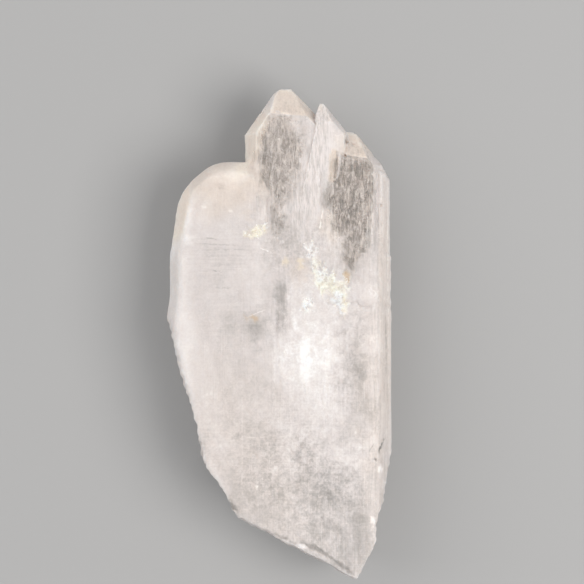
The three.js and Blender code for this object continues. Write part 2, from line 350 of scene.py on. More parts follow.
def share_of(spec):
    """How much of a patch is at each point: much inside it, 0 outside."""
    away = points + shakes[spec.size] * spec.wobble - (spec.x, spec.y, FRONT_HEIGHT)
    turn = math.radians(spec.turn)
    across = away[:, 0] * math.cos(turn) + away[:, 1] * math.sin(turn)
    along = away[:, 1] * math.cos(turn) - away[:, 0] * math.sin(turn)
    lengths = abs(np.stack((across / spec.wide, along / spec.long, away[:, 2] / spec.deep)))
    length = (lengths**spec.corners).sum(axis=0) ** (1 / spec.corners)
    share = np.clip((1 + spec.soft - length) / (2 * spec.soft), 0, 1)
    return spec.much * share * share * (3 - 2 * share)


def keep(name, *specs, joined=np.max):
    """Keeps patches of one kind on the mesh. Where they overlap, the strongest counts."""
    store(name, joined([share_of(spec) for spec in specs], axis=0))
    print(name + ":", len(specs), "patches")

# %% [markdown]
# ## Where the crystal is clear, bruised and stained
# Some patches go through the whole thickness, so that they show on the back as well. The others are marks on
# the front or just below it. Painting them by hand on a texture would work too, but numbers are easy to move
# and to compare.

# %% Clear windows
THROUGH = 60  # mm


def through(*where, **how):
    return Patch(*where, **how, deep=THROUGH)


keep(
    "tall_window",
    through(0, 34.6, 5.2, 10.6, 0.8, wobble=1.8, size=2.5, soft=0.3),
    through(-0.4, 25, 2.9, 8, 0.7, wobble=1.8, size=2.5),
)
keep(
    "clear_window",
    through(15, 28.6, 4.6, 8.8, corners=4, wobble=1.1, size=2.5, soft=0.22),
    through(15.4, 19, 2.6, 5.4, 0.9, corners=3, wobble=1.1, soft=0.4),
    through(14.2, 16, 1.3, 4.4, 0.9, corners=4, wobble=0.4, soft=0.3),
    through(9.9, 27.4, 1.3, 3.4, 0.6, wobble=1, soft=0.5),
)

# %% [markdown]
# ## The blade, the bruise and the stains
# The narrow blade between the two tips is frosted. Below the tips a blow has left a bruise, where the quartz
# is crushed white, and one small white spot among its patches is a painted glint. Iron in the water has
# stained it cream on the tips, and yellow and rust in a few cracks.

# %% The blade, the bruise and the stains
keep(
    "blade",
    Patch(7, 34, 2.3, 13.5, 0.95, turn=-11, soft=0.35),
    Patch(4.6, 26, 2.9, 7, 0.9, turn=-8, wobble=1.4, size=2.5, soft=0.5),
)
keep(
    "bruise_and_painted_glint",
    Patch(6.3, 16.2, 1.1, 1.4, 0.9, wobble=1.4),
    Patch(7.9, 12.4, 0.9, 2.6, turn=18, wobble=1.4),
    Patch(10.2, 9.9, 2.8, 1.9, turn=-25, wobble=2, soft=0.5),
    Patch(12.2, 6.6, 1.5, 3.2, turn=12, wobble=1.8, soft=0.5),
    Patch(13.3, 9.4, 0.8, 2.4, 0.8, wobble=1.2),
    # painted highlight: this white spot stands for a glint, not for crushed quartz
    Patch(5.6, 5.6, 0.9, 1.6, wobble=1.2),
    Patch(-4.8, 20.4, 1.9, 0.8, turn=-10, wobble=1.4),
    Patch(-3, 21.4, 0.6, 0.5, wobble=0.6),
)
keep(
    "cream",
    through(-11, 31, 10.5, 6.2, 0.6, wobble=2.4, size=5, soft=0.5),
    through(-20.4, 25, 2.2, 7, 0.8, turn=-10, corners=3, wobble=0.3, soft=0.25),
    through(-5.6, 37.5, 2.2, 8, 0.8, turn=-22, corners=3, wobble=0.5, soft=0.3),
    Patch(10.9, 33.6, 0.95, 3.5, 0.9, turn=-4, corners=3, wobble=0.2, soft=0.15),
    through(15.5, 37.6, 4, 3, 0.6, wobble=1.2, size=2.5, soft=0.5),
    Patch(10.8, 21, 2.1, 4, 0.45, wobble=1.6, size=2.5),
    Patch(21.4, 4, 1.4, 26, 0.35, corners=4, wobble=0.3, soft=0.3),
    Patch(-6, -24, 9, 22, 0.2, turn=20, wobble=3, size=5, soft=0.7),
    Patch(19, -18, 3, 22, 0.25, wobble=2, size=5, soft=0.7),
    Patch(4, 12.6, 1.7, 2.6, 0.35, wobble=1.6),
    Patch(-6.6, 24.2, 1.8, 1.4, 0.4, wobble=1.6),
)
keep(
    "yellow",
    Patch(-4.6, 20.3, 2, 0.9, 0.55, wobble=1.4),
    Patch(13.2, 6.4, 0.6, 2.8, 0.5, turn=-2, wobble=0.7),
    Patch(10.6, 9.4, 2.4, 1.6, 0.5, wobble=1.8, soft=0.7),
    Patch(7.6, 12.6, 0.8, 2, 0.35, wobble=1.4, soft=0.7),
    Patch(1.4, 14.3, 0.6, 0.7, 0.5),
    Patch(4.4, 14, 0.5, 0.9, 0.5),
)
keep(
    "rust",
    Patch(-5.2, 3.1, 1.2, 0.35, 0.55, turn=8, wobble=0.9, soft=0.7),
    Patch(13.6, 11.1, 0.5, 1.3, 0.6, wobble=0.6, soft=0.5),
)

# %% [markdown]
# ## Lighter and darker milk, with painted light
# Milky quartz is never even. Places with more bubbles are whiter, and thin or clear ones let the dark inside
# show. Some lighter patches are painted light instead: they lighten faces on the left, which turn away from
# the key light, against their shade, and one bright streak is a painted highlight. These patches add up
# where they overlap, as more and more bubbles would.

# %% Lighter and darker patches
keep(
    "whiter_milk_and_painted_light",
    Patch(10, -3, 9, 13, 0.05, wobble=4, size=5, soft=0.5, deep=16),
    Patch(10, -9, 11, 20, 0.07, corners=4, wobble=0.6, size=2.5, soft=0.07),
    # painted light: these three lighten faces on the left that turn away from the key light
    through(-20.8, 2, 3, 22, 0.16, turn=3, wobble=1.6, size=5),
    through(-20.4, 24, 2.8, 9, 0.2, turn=-10, wobble=0.5, soft=0.4),
    through(-6, 37.5, 2.6, 9, 0.18, turn=-22, wobble=0.5, soft=0.4),
    through(-12, 32.4, 8, 2.4, 0.06, wobble=1, soft=0.5),
    through(21.6, 2, 1.6, 30, 0.06, corners=4, wobble=0.4, soft=0.3),
    # painted highlight: a bright streak where a glint lies on a ledge
    Patch(5.3, -5.4, 1, 4.6, 0.26, corners=4, wobble=0.5, soft=0.3),
    Patch(9.4, -4.6, 3, 5, 0.08, wobble=3, size=2.5),
    Patch(3.2, 1.2, 0.5, 2, 0.2, turn=-8),
    Patch(-13, 21, 6, 4, 0.06, wobble=3, size=5, soft=0.7),
    Patch(-17.6, 18.6, 1.6, 0.9, 0.16, turn=-20, wobble=1.2, soft=0.7),
    Patch(-4.4, -30.8, 0.35, 0.3, 0.35, wobble=0.3, soft=0.5),
    Patch(-0.9, -27.6, 1.1, 0.7, 0.14, wobble=1.2, soft=0.7),
    Patch(1.4, -25.8, 0.5, 0.6, 0.16),
    Patch(14.1, -24.8, 0.7, 0.4, 0.16),
    Patch(11.4, -40.2, 1.3, 1.6, 0.14, wobble=1.4, soft=0.7),
    Patch(20.3, -27.2, 0.5, 0.6, 0.35, wobble=0.4, soft=0.4),
    Patch(18.8, -37.4, 0.4, 0.7, 0.35, wobble=0.4, soft=0.4),
    Patch(4.7, -42.6, 0.9, 0.5, 0.3, wobble=0.6, soft=0.5),
    Patch(-9.6, 24.5, 0.35, 0.35, 0.25, wobble=0.3, soft=0.5),
    Patch(-14.8, 25.2, 0.35, 0.3, 0.22, wobble=0.3, soft=0.5),
    joined=np.sum,
)
keep(
    "darker",
    Patch(0.5, 5.2, 1.2, 5.6, 0.17, corners=4, wobble=0.7, soft=0.45),
    through(15, -43, 4.5, 8, 0.12, turn=-20, wobble=2.4, size=5, soft=0.7),
    through(16.6, -40, 2, 7, 0.08, turn=8, wobble=0.6, soft=0.5),
    Patch(-4.4, -10, 4, 10, 0.05, wobble=2, size=5, soft=0.7),
    Patch(16.6, -8, 4, 17, 0.12, wobble=2.4, size=5),
    Patch(15, 28, 5, 10, 0.05, wobble=1, size=2.5, soft=0.5),
    Patch(3, -31, 18, 16, 0.06, wobble=3, size=5),
    Patch(17.5, -17, 3, 8, 0.03, wobble=1.6, size=2.5, soft=0.7),
    Patch(2, 19.4, 2.4, 3, 0.15, wobble=1.6, soft=0.8),
    Patch(17.7, 19.2, 0.8, 2, 0.22, turn=6, wobble=0.5, soft=0.5),
    Patch(10, 27.4, 1.1, 2.6, 0.12),
    Patch(-5.6, 0.7, 4.8, 2.8, 0.16, wobble=1.6, size=2.5, soft=0.9),
    Patch(15.6, -6.8, 2.6, 4.4, 0.1, wobble=1.8, size=2.5, soft=0.9),
    Patch(16.6, -8.4, 0.7, 1.4, 0.07, wobble=1.4, soft=0.9),
    Patch(4.6, -24.6, 3, 2.4, 0.15, wobble=3, size=2.5, soft=0.8),
    Patch(9, -30.6, 5.6, 4.2, 0.16, wobble=3, size=2.5, soft=0.9),
    Patch(-8.4, -20.4, 0.5, 1.1, 0.14, soft=0.8),
    Patch(9, -39, 3, 1.6, 0.12, turn=-20, wobble=2, size=2.5, soft=0.8),
    Patch(11.5, 0.4, 1.6, 1.2, 0.1, wobble=1.2, soft=0.8),
    Patch(19.3, -25.2, 0.25, 0.3, 0.5, wobble=0.3, soft=0.5),
    Patch(-9.6, -34.4, 1.7, 0.7, 0.3, turn=-30, wobble=0.4, soft=0.5),
    Patch(1, -40.9, 2.4, 0.34, 0.2, turn=-24, wobble=0.5, soft=0.3),
    Patch(7.4, -43, 3.4, 0.55, 0.22, turn=-24, wobble=0.5, soft=0.3),
    Patch(12.2, -46.2, 3.4, 0.4, 0.18, turn=-36, wobble=0.4, soft=0.3),
    Patch(-2.4, 36, 1.2, 5, 0.14, wobble=1.2, size=2.5),
    Patch(3.6, 38.6, 0.9, 1.6, 0.16, wobble=1.2, soft=0.7),
    Patch(-11.5, 29.4, 0.8, 0.75, 0.12, wobble=0.2, soft=0.2),
    joined=np.sum,
)

# %% [markdown]
# ## Where fine textures show
# Bubbles lie in clumps in some places. In others they lie in lines across the crystal, where it stopped
# growing for a while, or in streaks along it. The textures come later, and these patches say how much of
# each is seen.

# %% Where clumps, growth lines and streaks show
keep(
    "curdled",
    Patch(5, -28, 12, 14, wobble=3, size=5),
    Patch(9, -4, 9, 13, 0.9, wobble=3, size=5),
    Patch(-12, -22, 8, 10, 0.4, wobble=3, size=5),
    Patch(4, 18, 9, 6, 0.7, wobble=2, size=5),
    Patch(5, 32, 3, 12, 0.6, turn=-10, wobble=1, soft=0.5),
)
keep(
    "ruled",
    Patch(-12, 16, 8, 5, wobble=2, size=5, soft=0.5),
    Patch(-8, 3, 7, 8, 0.6, wobble=2, size=5),
    Patch(0, -25, 17, 9, 0.8, wobble=3, size=5),
)
keep(
    "streaked",
    through(2, 34, 9, 14, wobble=1, size=5, soft=0.3),
    through(15, 24, 9, 17, wobble=1, size=5, soft=0.3),
    through(20.6, 0, 2.2, 34, corners=4, wobble=0.4, soft=0.3),
    Patch(1.2, 4, 2.4, 12, 0.8, wobble=1, size=2.5, soft=0.5),
    Patch(9, -8, 10, 20, 0.35, wobble=2, size=5),
)

# %% [markdown]
# ## The skin as a piece
# Faces that meet at a low angle are shaded smooth, and the edges between crystal faces stay sharp. The skin
# stands in for the measured solid, so it replaces that node and rides the same body.

# %% The skin in the scene
SHARP_ANGLE = 24  # degrees
skin = shown("crystal_skin", skin_mesh)
skin_mesh.shade_smooth()
skin_mesh.set_sharp_from_angle(angle=math.radians(SHARP_ANGLE))
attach(skin, "root")
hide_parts("quartz_crystal")
print("skin in mm:", [round(float(length), 1) for length in np.ptp(points, axis=0)])

# %% [markdown]
# ## Wiring nodes
# A material or a geometry tree is a small machine of nodes. These helpers keep the wiring short. Each one
# adds a node, connects what it is given, and hands back the result.

# %% Helpers for nodes
def connect(tree, node, inputs):
    """Links or sets inputs of a node."""
    for name, value in inputs.items():
        if isinstance(value, bpy.types.NodeSocket):
            tree.links.new(value, node.inputs[name])
        else:
            node.inputs[name].default_value = value


def wire(tree, kind, inputs=None, **settings):
    """Adds a node, makes its settings, and links or sets its inputs."""
    made = tree.nodes.new(kind)
    for name, value in settings.items():
        setattr(made, name, value)
    connect(tree, made, inputs or {})
    return made


def calc(tree, operation, *values, clamp=False):
    """One sum on numbers."""
    inputs = dict(enumerate(values))
    return wire(tree, "ShaderNodeMath", inputs, operation=operation, use_clamp=clamp).outputs[0]


def vector_calc(tree, operation, *values):
    """One sum on vectors."""
    return wire(tree, "ShaderNodeVectorMath", dict(enumerate(values)), operation=operation).outputs[0]


def ramp(tree, value, low, high, to_low=0.0, to_high=1.0):
    """Goes smoothly from to_low to to_high while value goes from low to high."""
    inputs = {"Value": value, "From Min": low, "From Max": high, "To Min": to_low, "To Max": to_high}
    return wire(tree, "ShaderNodeMapRange", inputs, interpolation_type="SMOOTHSTEP").outputs["Result"]


def mixed(tree, share, one, other, blend="MIX"):
    """A colour that goes from one to another as share goes from 0 to 1, or is multiplied by it."""
    inputs = {0: share, 6: one, 7: other}
    return wire(tree, "ShaderNodeMix", inputs, data_type="RGBA", blend_type=blend).outputs[2]


def between(tree, share, one, other):
    """A number that goes from one to another as share goes from 0 to 1."""
    return wire(tree, "ShaderNodeMix", {0: share, 2: one, 3: other}).outputs[0]


def scaled(tree, vector, length):
    return wire(tree, "ShaderNodeVectorMath", {0: vector, "Scale": length}, operation="SCALE").outputs[0]

# %% Longer sums, trees and materials
def all_together(tree, operation, result, *more):
    """The same sum again and again, on the result so far and the next number."""
    for value in more:
        result = calc(tree, operation, result, value)
    return result


def plus(tree, *values):
    return all_together(tree, "ADD", *values)


def times(tree, *values):
    return all_together(tree, "MULTIPLY", *values)


def most(tree, *values):
    return all_together(tree, "MAXIMUM", *values)


def new_tree(name, kind, takes, gives):
    """A tree with named sockets of these kinds, in and out."""
    tree = bpy.data.node_groups.new(name, kind)
    for in_out, sockets in (("INPUT", takes), ("OUTPUT", gives)):
        for label, carried in sockets.items():
            tree.interface.new_socket(label, in_out=in_out, socket_type="NodeSocket" + carried)
    return tree, tree.nodes.new("NodeGroupInput").outputs, tree.nodes.new("NodeGroupOutput").inputs


def new_material(name):
    material = bpy.data.materials.new(name)
    material.use_nodes = True
    return material, material.node_tree


def coat(tree, finish):
    """Links or sets inputs of a material's shader."""
    connect(tree, tree.nodes["Principled BSDF"], finish)


def but_not(tree, share, other):
    """share, where other isn't."""
    return times(tree, share, calc(tree, "SUBTRACT", 1.0, other, clamp=True))

# %% Places, noise and stored numbers
def here_mm(tree, stretch=(1, 1, 1)):
    """The place on the crystal in millimetres, with each axis multiplied by its stretch."""
    coordinates = wire(tree, "ShaderNodeTexCoord").outputs["Object"]
    return vector_calc(tree, "MULTIPLY", coordinates, Vector([part / MM for part in stretch]))


def cloudy(tree, size, detail=4.0, roughness=0.55, stretch=(1, 1, 1), distortion=0.0):
    """Noise of 0 to 1 with lumps of about size mm. A stretch under 1 makes them longer along that axis."""
    inputs = {
        "Vector": here_mm(tree, stretch),
        "Scale": 1 / size,
        "Detail": detail,
        "Roughness": roughness,
        "Distortion": distortion,
    }
    return wire(tree, "ShaderNodeTexNoise", inputs).outputs["Fac"]


def wild_noise(tree, here, size, detail):
    """Noise of 0 to 1, and a random vector of about -0.5 to 0.5."""
    wild = wire(tree, "ShaderNodeTexNoise", {"Vector": here, "Scale": 1 / size, "Detail": detail}).outputs
    return wild["Fac"], vector_calc(tree, "SUBTRACT", wild["Color"], Vector((0.5, 0.5, 0.5)))


def stored(tree, name):
    """A number that is kept on the mesh."""
    return wire(tree, "ShaderNodeAttribute", attribute_name=name).outputs["Fac"]

# %% [markdown]
# ## Hairlines
# Thin straight lines are narrower than the skin's squares, so the material draws them itself, from a group
# of nodes that is built once: a long narrow box, slightly bent by noise.

# %% The hairline group
def build_hairline_group():
    takes = {"Centre": "Vector", "Reach": "Vector", "Turn": "Float", "Wobble": "Float", "Much": "Float"}
    tree, given, result = new_tree("hairline", "ShaderNodeTree", takes, {"Share": "Float"})
    here = here_mm(tree)
    wild, shake = wild_noise(tree, here, 1, 3)
    shaken_here = vector_calc(tree, "ADD", here, scaled(tree, shake, given["Wobble"]))
    centred = vector_calc(tree, "SUBTRACT", shaken_here, given["Centre"])
    turn_inputs = {"Vector": centred, "Angle": given["Turn"]}
    turned = wire(tree, "ShaderNodeVectorRotate", turn_inputs, rotation_type="Z_AXIS").outputs[0]
    shares = vector_calc(tree, "ABSOLUTE", vector_calc(tree, "DIVIDE", turned, given["Reach"]))
    across, along, deep = wire(tree, "ShaderNodeSeparateXYZ", {0: shares}).outputs
    furthest = most(tree, across, along, deep)
    interrupted = ramp(tree, wild, 0.36, 0.52)
    share = times(tree, given["Much"], interrupted, ramp(tree, furthest, 0.4, 1.3, 1.0, 0.0))
    tree.links.new(share, result["Share"])
    return tree


hairline_group = build_hairline_group()


def hairlines(tree, specs):
    """Several hairlines added up."""
    shares = []
    for spec in specs:
        inputs = {
            "Centre": (spec.x, spec.y, FRONT_HEIGHT),
            "Reach": (spec.wide, spec.long, spec.deep),
            "Turn": -math.radians(spec.turn),
            "Wobble": spec.wobble,
            "Much": spec.much,
        }
        shares.append(wire(tree, "ShaderNodeGroup", inputs, node_tree=hairline_group).outputs["Share"])
    return plus(tree, *shares)

# %% Light and dark hairlines
LIGHT_LINES = (
    Patch(-7.3, -20, 0.12, 11, 0.12, wobble=0.15),
    Patch(-4.6, -20.8, 2.2, 0.13, 0.14, wobble=0.2),
    Patch(-2.4, 16.5, 1.3, 0.14, 0.3, turn=-22, wobble=0.5),
    Patch(-4.5, 3.9, 2.1, 0.1, 0.2, turn=22, wobble=0.3),
    Patch(8.5, 22.4, 0.16, 2.6, 0.34, turn=-10, wobble=0.2),
    Patch(18.75, 26, 0.15, 8.6, 0.3, wobble=0.1),
    Patch(22.1, 8, 0.16, 22, 0.18, wobble=0.1),
    Patch(20.4, 10, 0.16, 10, 0.1, wobble=0.1),
    Patch(-0.8, -7, 0.18, 8, 0.1, wobble=0.7),
)
DARK_LINES_AND_CRACK_SHADOWS = (
    Patch(-12.4, 17.7, 4, 0.14, 0.16, turn=-2, wobble=0.6),
    Patch(-10.8, 16.7, 3.6, 0.12, 0.14, turn=1, wobble=0.6),
    Patch(-13.6, 18.9, 1.2, 0.15, 0.3, turn=-8, wobble=0.5),
    Patch(-12.2, 12.3, 1, 0.16, 0.2, turn=-12, wobble=0.5),
    Patch(-11, 9, 1.6, 0.1, 0.16, wobble=0.5),
    # painted shadow: these two darken two small cracks, as shade in them would
    Patch(20.6, -22.6, 0.2, 1.5, 0.55, turn=-26),
    Patch(18.6, -22.8, 0.1, 0.9, 0.25, turn=-30, wobble=0.3),
    Patch(21.6, -2.6, 0.16, 6, 0.2, wobble=0.1),
    Patch(19.9, 9, 0.16, 9, 0.14, wobble=0.1),
    Patch(1.2, 43.5, 1.4, 0.1, 0.3, wobble=0.1),
)
print("hairlines:", len(LIGHT_LINES) + len(DARK_LINES_AND_CRACK_SHADOWS))

# %% [markdown]
# ## The quartz of the skin
# Clear quartz is nothing but transmission and its refractive index of 1.544. Milky quartz scatters light
# below its surface, which Subsurface stands for. The skin is one material, and its Transmission Weight goes
# from a little in the milk to most in the windows. One number, the tone, says how white the milk is at each
# place. Soft clouds, fine lines and marks add to it or take from it, and a ramp turns it into a colour.
# Stains are mixed in last.

# %% Textures that run through the quartz
def streaks(tree):
    """Thin lines along the crystal."""
    return cloudy(tree, 0.8, detail=5, roughness=0.65, stretch=(1.8, 0.13, 0.8), distortion=0.35)


def growth_lines(tree):
    """Thin lines across the prism faces."""
    return cloudy(tree, 0.9, detail=5, roughness=0.6, stretch=(0.16, 2.0, 0.6), distortion=0.3)


def fibres(tree):
    """Tangled hairs along the crystal."""
    return cloudy(tree, 0.9, detail=5, roughness=0.76, stretch=(1.5, 0.42, 0.8), distortion=0.8)


def mottle(tree):
    """Small irregular lumps."""
    return cloudy(tree, 1.7, detail=5, roughness=0.72, stretch=(1, 0.8, 1), distortion=0.5)


def curds(tree):
    """Small white clumps with crisp rims."""
    return ramp(tree, cloudy(tree, 1.4, detail=5, roughness=0.82, distortion=0.3), 0.5, 0.61)


def fine_grain(tree):
    return cloudy(tree, 0.5, detail=2, roughness=0.6)


def wide_clouds(tree):
    return cloudy(tree, 9, detail=7, roughness=0.6, stretch=(1, 0.7, 1), distortion=0.6)


def wisps(tree, size, thickness):
    """Thin curved threads, where a noise passes through its middle."""
    noise_here = cloudy(tree, size, detail=5, roughness=0.6, distortion=1.0)
    from_middle = calc(tree, "ABSOLUTE", calc(tree, "SUBTRACT", noise_here, 0.5))
    line = ramp(tree, from_middle, 0.0, thickness, 1.0, 0.0)
    return times(tree, line, ramp(tree, cloudy(tree, 2.6), 0.46, 0.6))


def grains(tree, size, share):
    """Bright specks of about size mm, which fill a share of the place."""
    specks = wire(tree, "ShaderNodeTexVoronoi", {"Vector": here_mm(tree), "Scale": 1 / size})
    one_in_many = wire(tree, "ShaderNodeSeparateColor", {0: specks.outputs["Color"]}).outputs[0]
    chosen = calc(tree, "LESS_THAN", one_in_many, share)
    return times(tree, chosen, ramp(tree, specks.outputs["Distance"], 0.15, 0.5, 1.0, 0.0))

# %% Shares of windows and bruise
OFF_FRONT = 0.45  # how clear a column's other faces are beside its front


def windows(tree):
    """The clear windows, clearest on the front faces of the two tall columns."""
    shares = []
    for window, front in (("tall_window", "tall_front"), ("clear_window", "clear_front")):
        on_front = between(tree, stored(tree, front), OFF_FRONT, 1.0)
        shares.append(times(tree, stored(tree, window), on_front))
    return most(tree, *shares)


def bruise_and_painted_glint(tree):
    """Where a blow crushed the quartz to sugar-white grains, and one small painted glint."""
    broken_up = ramp(tree, cloudy(tree, 0.9, detail=5, roughness=0.8), 0.4, 0.5)
    return times(tree, stored(tree, "bruise_and_painted_glint"), broken_up)

# %% The tone of the milk
TONE = 0.6  # of plain milk
WINDOW_TONE = 0.5  # of the clear windows


def waves(tree, texture, much=1.0):
    """A texture of 0 to 1 as a number from minus much to much."""
    return ramp(tree, texture, 0.3, 0.7, -much, much)


def milk_tone(tree):
    lumpy = mottle(tree)
    curdled = stored(tree, "curdled")
    streaked = stored(tree, "streaked")
    uneven = between(tree, curdled, 0.03, 0.08)
    in_clouds = ramp(tree, wide_clouds(tree), 0.52, 0.68, 0.0, 0.16)
    return plus(
        tree,
        TONE,
        waves(tree, wide_clouds(tree), much=0.07),
        times(tree, waves(tree, lumpy), uneven),
        times(tree, waves(tree, fine_grain(tree)), uneven),
        times(tree, waves(tree, streaks(tree), much=0.09), streaked),
        times(tree, waves(tree, growth_lines(tree), much=0.05), stored(tree, "ruled")),
        times(tree, curds(tree), curdled, 0.1),
        times(tree, wisps(tree, size=2.4, thickness=0.02), between(tree, streaked, 0.1, 0.2)),
        times(tree, grains(tree, size=0.9, share=0.16), in_clouds),
        stored(tree, "whiter_milk_and_painted_light"),
        times(tree, stored(tree, "darker"), ramp(tree, lumpy, 0.35, 0.65, -1.25, -0.7)),
    )


def window_tone(tree):
    return plus(
        tree,
        WINDOW_TONE,
        waves(tree, mottle(tree), much=0.06),
        waves(tree, fibres(tree), much=0.2),
        waves(tree, fine_grain(tree), much=0.05),
        times(tree, wisps(tree, size=1.6, thickness=0.03), 0.22),
        times(tree, grains(tree, size=0.7, share=0.06), 0.25),
        stored(tree, "whiter_milk_and_painted_light"),
        times(tree, stored(tree, "darker"), -0.8),
    )


def frost_tone(tree):
    along = cloudy(tree, 0.7, detail=5, roughness=0.72, stretch=(1.9, 0.26, 0.8), distortion=0.5)
    return ramp(tree, along, 0.32, 0.68, 0.36, 0.68)

# %% Skin colour
MILK_STOPS = (
    (0.0, (0.26, 0.245, 0.23, 1)),
    (0.35, (0.49, 0.455, 0.43, 1)),
    (0.6, (0.71, 0.655, 0.63, 1)),
    (0.8, (0.83, 0.785, 0.76, 1)),
    (1.0, (0.95, 0.925, 0.905, 1)),
)
CREAM_TINT = (1.03, 0.965, 0.87, 1)
CREAM_ON_TIPS = 0.75
CREAM_IN_WINDOWS = 0.45
SUGAR = (1.0, 0.985, 0.96, 1)
RUST = (0.62, 0.42, 0.20, 1)
YELLOW = (0.93, 0.81, 0.60, 1)


def milk_from(tree, tone):
    """The colour of milk of a tone."""
    made = wire(tree, "ShaderNodeValToRGB", {0: tone})
    stops = made.color_ramp.elements
    while len(stops) < len(MILK_STOPS):
        stops.new(0.5)
    for stop, (place, colour) in zip(stops, MILK_STOPS):
        stop.position = place
        stop.color = colour
    return made.outputs[0]


def skin_colour(tree, clear):
    tone = between(tree, clear, milk_tone(tree), window_tone(tree))
    tone = between(tree, stored(tree, "blade"), tone, frost_tone(tree))
    chipped = ramp(tree, cloudy(tree, 1.2, detail=6, roughness=0.7), 0.4, 0.62, -0.04, 0.05)
    tone = plus(tree, tone, times(tree, stored(tree, "worn_edge"), chipped), hairlines(tree, LIGHT_LINES))
    tone = calc(tree, "SUBTRACT", tone, hairlines(tree, DARK_LINES_AND_CRACK_SHADOWS))
    on_tips = times(tree, stored(tree, "tip_face"), CREAM_ON_TIPS)
    in_windows = times(tree, clear, CREAM_IN_WINDOWS)
    creamy = but_not(tree, most(tree, on_tips, stored(tree, "cream"), in_windows), stored(tree, "blade"))
    colour = mixed(tree, creamy, milk_from(tree, tone), CREAM_TINT, blend="MULTIPLY")
    colour = mixed(tree, bruise_and_painted_glint(tree), colour, SUGAR)
    colour = mixed(tree, stored(tree, "yellow"), colour, YELLOW)
    return mixed(tree, stored(tree, "rust"), colour, RUST)

# %% [markdown]
# ## Clearness
# A glass shader on the whole crystal would look like a bottle. So the skin lets only a share of the light
# through: a little in the milk, more in dark marks, most in the windows, and none on the blade and the
# bruise, nor on the painted glint among the bruise patches.

# %% How far the skin can be seen through
SEEN_IN_MILK = 0.14
SEEN_IN_DARK_MARK = 1.2  # times how dark it is
SEEN_IN_WINDOW = 0.62
SEEN_ON_FIBRES = 0.3
SEEN_BELOW_TIPS = 0.75


def skin_clearness(tree, clear):
    in_marks = times(tree, stored(tree, "darker"), SEEN_IN_DARK_MARK)
    in_windows = times(tree, clear, ramp(tree, fibres(tree), 0.35, 0.68, SEEN_IN_WINDOW, SEEN_ON_FIBRES))
    below_tips = times(tree, stored(tree, "below_tips"), SEEN_BELOW_TIPS)
    share = most(tree, in_marks, SEEN_IN_MILK, in_windows, below_tips)
    on_tips = times(tree, stored(tree, "tip_face"), 0.5)
    for veil in (stored(tree, "blade"), bruise_and_painted_glint(tree), on_tips):
        share = but_not(tree, share, veil)
    return share

# %% [markdown]
# ## Gloss and fine relief
# Crystal faces shine like satin where milk lies under them and like glass on the windows, and broken grains
# are dull. Growth lines finer than the squares of the skin are made with a Bump node, which only tilts the
# shading.

# %% Skin gloss and fine relief
SATIN = (0.28, 0.36)  # roughness, from and to
GLASSY = (0.08, 0.22)
ROUGHER_ON_FROST = 0.25
ROUGHER_ON_EDGES = 0.4
ROUGHER_ON_BREAKS = 0.1
BUMP_HEIGHT = 0.2  # mm
BUMP_STRENGTH = 0.8


def skin_roughness(tree, clear):
    swirls = cloudy(tree, 2.6, detail=5)
    satin = ramp(tree, swirls, 0.3, 0.7, *SATIN)
    glassy = ramp(tree, swirls, 0.3, 0.7, *GLASSY)
    frosty = times(tree, most(tree, stored(tree, "blade"), bruise_and_painted_glint(tree)), ROUGHER_ON_FROST)
    on_edges = times(tree, stored(tree, "near_edge"), ROUGHER_ON_EDGES)
    on_breaks = times(tree, stored(tree, "broken"), ROUGHER_ON_BREAKS)
    share = plus(tree, between(tree, clear, satin, glassy), frosty, on_edges)
    return calc(tree, "ADD", share, on_breaks, clamp=True)


def skin_relief(tree):
    along = cloudy(tree, 0.5, detail=5, stretch=(1.5, 0.07, 1))
    across = cloudy(tree, 0.6, stretch=(0.1, 1.5, 0.4))
    grain = times(tree, cloudy(tree, 0.6), 0.3)
    sugar = times(tree, cloudy(tree, 0.35, detail=2), bruise_and_painted_glint(tree), 3.0)
    height = plus(tree, times(tree, along, 0.5), times(tree, across, 0.35), grain, sugar)
    inputs = {"Height": height, "Strength": BUMP_STRENGTH, "Distance": BUMP_HEIGHT * MM}
    return wire(tree, "ShaderNodeBump", inputs).outputs["Normal"]

# %% The skin's material
IOR_QUARTZ = 1.544
MILK_GLOW = 2.4  # mm that light wanders through the milk
HAZE = 12  # absorption per metre
HAZE_COLOUR = (0.82, 0.78, 0.72, 1)


def glow(radius, scale_mm, weight=1.0):
    """How light wanders below a surface. The radius says how far it goes in red, green and blue."""
    return {"Subsurface Weight": weight, "Subsurface Radius": radius, "Subsurface Scale": scale_mm * MM}


def quartz_material():
    material, tree = new_material("quartz")
    clear = windows(tree)
    finish = {
        "Base Color": skin_colour(tree, clear),
        "Transmission Weight": skin_clearness(tree, clear),
        "Roughness": skin_roughness(tree, clear),
        "Normal": skin_relief(tree),
        "IOR": IOR_QUARTZ,
        **glow((1.0, 0.92, 0.84), MILK_GLOW),
    }
    coat(tree, finish)
    haze = wire(tree, "ShaderNodeVolumeAbsorption", {"Color": HAZE_COLOUR, "Density": HAZE})
    connect(tree, tree.nodes["Material Output"], {"Volume": haze.outputs[0]})
    return material


skin_mesh.materials.clear()
skin_mesh.materials.append(quartz_material())
print("quartz material:", len(skin_mesh.materials[0].node_tree.nodes), "nodes")

# %% [markdown]
# ## The milk inside
# Through a clear window one sees the milk deeper in. It is a ragged white cloud that stops short of the
# tips. A rule says where it is: deeper than a margin below the surface, and the margin wavers, and is
# thicker than the crystal inside the windows. Geometry Nodes fills a box with that rule's values and turns
# them into a surface.

# %% Helpers for geometry trees
def geometry_tree(name, sizes):
    """A new geometry tree with a geometry in and out, and these named sizes in."""
    takes = {"Geometry": "Geometry"}
    for label, size in sizes.items():
        takes[label] = "Int" if isinstance(size, int) else "Float"
    return new_tree(name, "GeometryNodeTree", takes, {"Geometry": "Geometry"})


